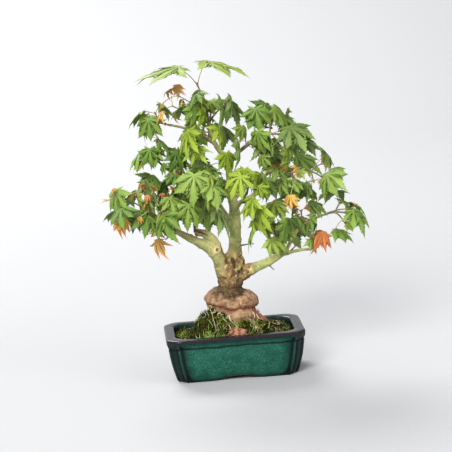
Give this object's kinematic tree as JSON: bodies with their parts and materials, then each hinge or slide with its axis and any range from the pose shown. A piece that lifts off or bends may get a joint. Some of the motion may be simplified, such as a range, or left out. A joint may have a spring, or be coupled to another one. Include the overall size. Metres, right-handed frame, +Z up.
{
  "type": "potted bonsai maple",
  "caption": "Small Japanese maple trained as a bonsai: a swollen, forked trunk with open drooping foliage in a low glazed pot with cut corners.",
  "frame": {"origin": "on the plane that the pot's feet stand on, under the middle of the whole plant's box", "axes": "+Z up along the trunk; +X to the right and +Y to the back when the moss heap and the cut stub are seen at the left of the trunk"},
  "size_m": [0.2573, 0.1561, 0.3035],
  "materials": {
    "glaze": "mottled dark teal-green glaze, thin and blackish brown at the rim, with paler crackle",
    "moss_soil": "damp crumbly soil under olive to bright green moss",
    "lava_crumb": "rough red-brown crumbly pebble",
    "trunk_bark": "tan to brown bark, smooth on the swelling and rough above it",
    "bough_bark": "smooth olive-green young bark with tan patches",
    "leaf_green": "thin satin leaf, mid green",
    "leaf_light": "thin satin leaf, yellow-green",
    "leaf_dark": "thin satin leaf, dark green",
    "leaf_bronze": "thin young leaf, orange bronze"
  },
  "bodies": {
    "root": {"pot": "glaze", "pebble": "lava_crumb", "soil": "moss_soil", "trunk": "trunk_bark", "leader": "bough_bark", "left_bough": "bough_bark", "left_stub": "bough_bark", "right_bough": "bough_bark", "leader_top": "bough_bark", "upper_right_bough": "bough_bark", "right_low_twig": "bough_bark", "right_rising_twig": "bough_bark", "middle_right_bough": "bough_bark", "middle_left_bough": "bough_bark", "upper_left_twig": "bough_bark", "front_twig": "bough_bark", "front_left_twig": "bough_bark", "back_low_bough": "bough_bark", "back_right_bough": "bough_bark", "back_left_bough": "bough_bark", "back_high_bough": "bough_bark", "apex": "leaf_light", "top_young": "leaf_bronze", "left_tip_young": "leaf_bronze", "left_hanging": "leaf_bronze", "centre_top": "leaf_light", "right_low_tip": "leaf_bronze", "right_inner_young": "leaf_bronze", "upper_middle": "leaf_green", "top_left": "leaf_green", "top_right": "leaf_green", "top_back": "leaf_green", "upper_left": "leaf_green", "upper_left_front": "leaf_light", "left_shoulder": "leaf_dark", "left_high": "leaf_green", "left_dense": "leaf_dark", "left_dense_back": "leaf_dark", "left_tip": "leaf_green", "left_middle": "leaf_green", "left_low": "leaf_green", "stub_shoot": "leaf_green", "front_left": "leaf_green", "front_high": "leaf_light", "front_low": "leaf_light", "right_low": "leaf_green", "right_low_back": "leaf_green", "right_yellow": "leaf_light", "right_middle": "leaf_green", "right_tip": "leaf_green", "right_shoulder": "leaf_green", "right_shoulder_low": "leaf_green", "right_inner": "leaf_green", "right_high": "leaf_green", "right_top": "leaf_dark", "right_outer": "leaf_green", "back_low": "leaf_green", "back_right": "leaf_green", "back_left": "leaf_green", "back_high": "leaf_green"}
  },
  "joints": []
}
